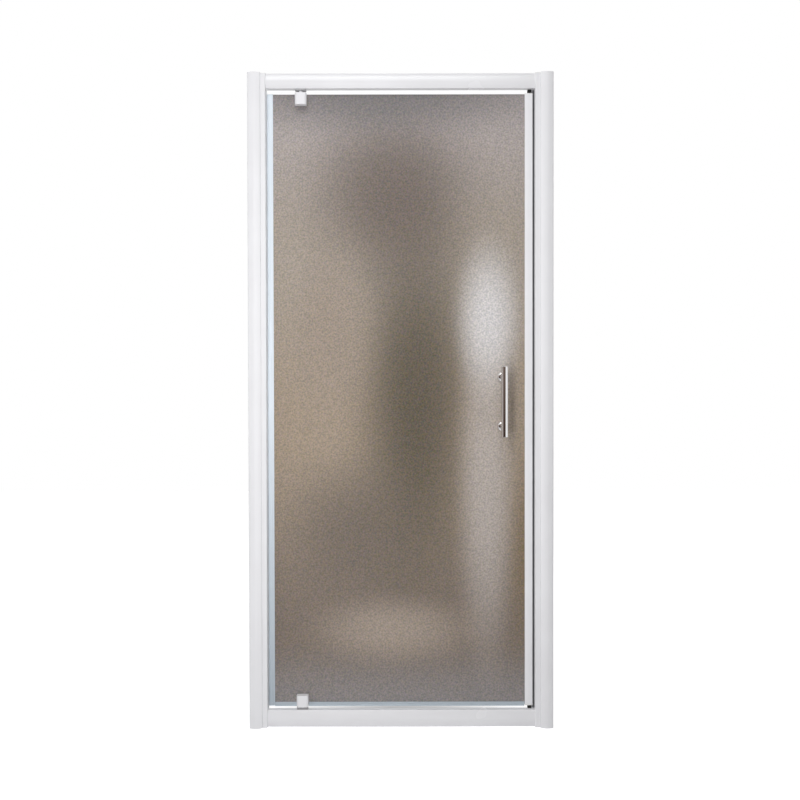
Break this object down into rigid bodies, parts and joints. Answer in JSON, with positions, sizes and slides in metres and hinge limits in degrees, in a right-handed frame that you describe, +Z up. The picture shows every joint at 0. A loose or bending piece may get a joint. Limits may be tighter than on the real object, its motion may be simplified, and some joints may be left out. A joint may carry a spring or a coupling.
{
  "type": "pivot shower door",
  "caption": "White framed shower door: one obscured glass leaf on top and bottom pivots, round bar handle, extruded wall profiles that adjust sideways.",
  "frame": {"origin": "centre of the threshold rail's underside, in the plane of the pivot pins", "axes": "+X to the right seen from outside, -Y out of the shower, +Z up"},
  "size_m": [0.86, 0.0787, 1.85],
  "materials": {
    "powder_white": "gloss",
    "white_nylon": "satin",
    "obscured_glass": "obscured",
    "clear_seal": "clear",
    "magnet_grey": "matte",
    "black_rubber": "matte",
    "grey_gasket": "matte",
    "chrome": "polished",
    "stainless": "satin"
  },
  "bodies": {
    "frame": {"hinge_jamb": "powder_white", "strike_jamb": "powder_white", "hinge_jamb_cap": "white_nylon", "strike_jamb_cap": "white_nylon", "threshold_rail": "powder_white", "top_rail": "powder_white", "rail_screws": "stainless", "left_lock_screws": "stainless", "right_lock_screws": "stainless", "bottom_pivot_bush": "white_nylon", "top_pivot_bush": "white_nylon", "bush_screws": "stainless", "thrust_washer": "white_nylon", "strike_magnet_strip": "magnet_grey"},
    "left_wall_profile": {"left_wall_profile": "powder_white", "left_wall_plug": "white_nylon"},
    "right_wall_profile": {"right_wall_profile": "powder_white", "right_wall_plug": "white_nylon"},
    "door": {"glass_panel": "obscured_glass", "bottom_pivot_block": "powder_white", "top_pivot_block": "powder_white", "bottom_pivot_pin": "stainless", "top_pivot_pin": "stainless", "bottom_front_gasket": "grey_gasket", "top_front_gasket": "grey_gasket", "bottom_back_gasket": "grey_gasket", "top_back_gasket": "grey_gasket", "bottom_clamp_plate": "powder_white", "top_clamp_plate": "powder_white", "clamp_screws": "stainless", "clamp_sleeves": "white_nylon", "door_edge_profile": "powder_white", "edge_glazing_gasket": "grey_gasket", "door_magnet_strip": "magnet_grey", "top_edge_cap": "white_nylon", "bottom_edge_cap": "white_nylon", "top_edge_pad": "black_rubber", "bottom_edge_pad": "black_rubber", "hinge_side_seal": "clear_seal", "short_drip_seal": "clear_seal", "long_drip_seal": "clear_seal", "handle_bar": "chrome", "lower_handle_post": "chrome", "upper_handle_post": "chrome", "handle_studs": "stainless", "handle_front_gaskets": "grey_gasket", "handle_back_gaskets": "grey_gasket", "handle_inner_caps": "chrome", "handle_screws": "stainless", "handle_sleeves": "white_nylon"}
  },
  "joints": [
    {"name": "door_pivot", "type": "hinge", "parent": "frame", "child": "door", "pos_m": [-0.2815, 0, 0.925], "axis": [0, 0, -1], "range_deg": [0, 100]},
    {"name": "left_adjustment", "type": "slide", "parent": "frame", "child": "left_wall_profile", "axis": [-1, 0, 0], "range_m": [0, 0.02]},
    {"name": "right_adjustment", "type": "slide", "parent": "frame", "child": "right_wall_profile", "axis": [1, 0, 0], "range_m": [0, 0.02]}
  ]
}
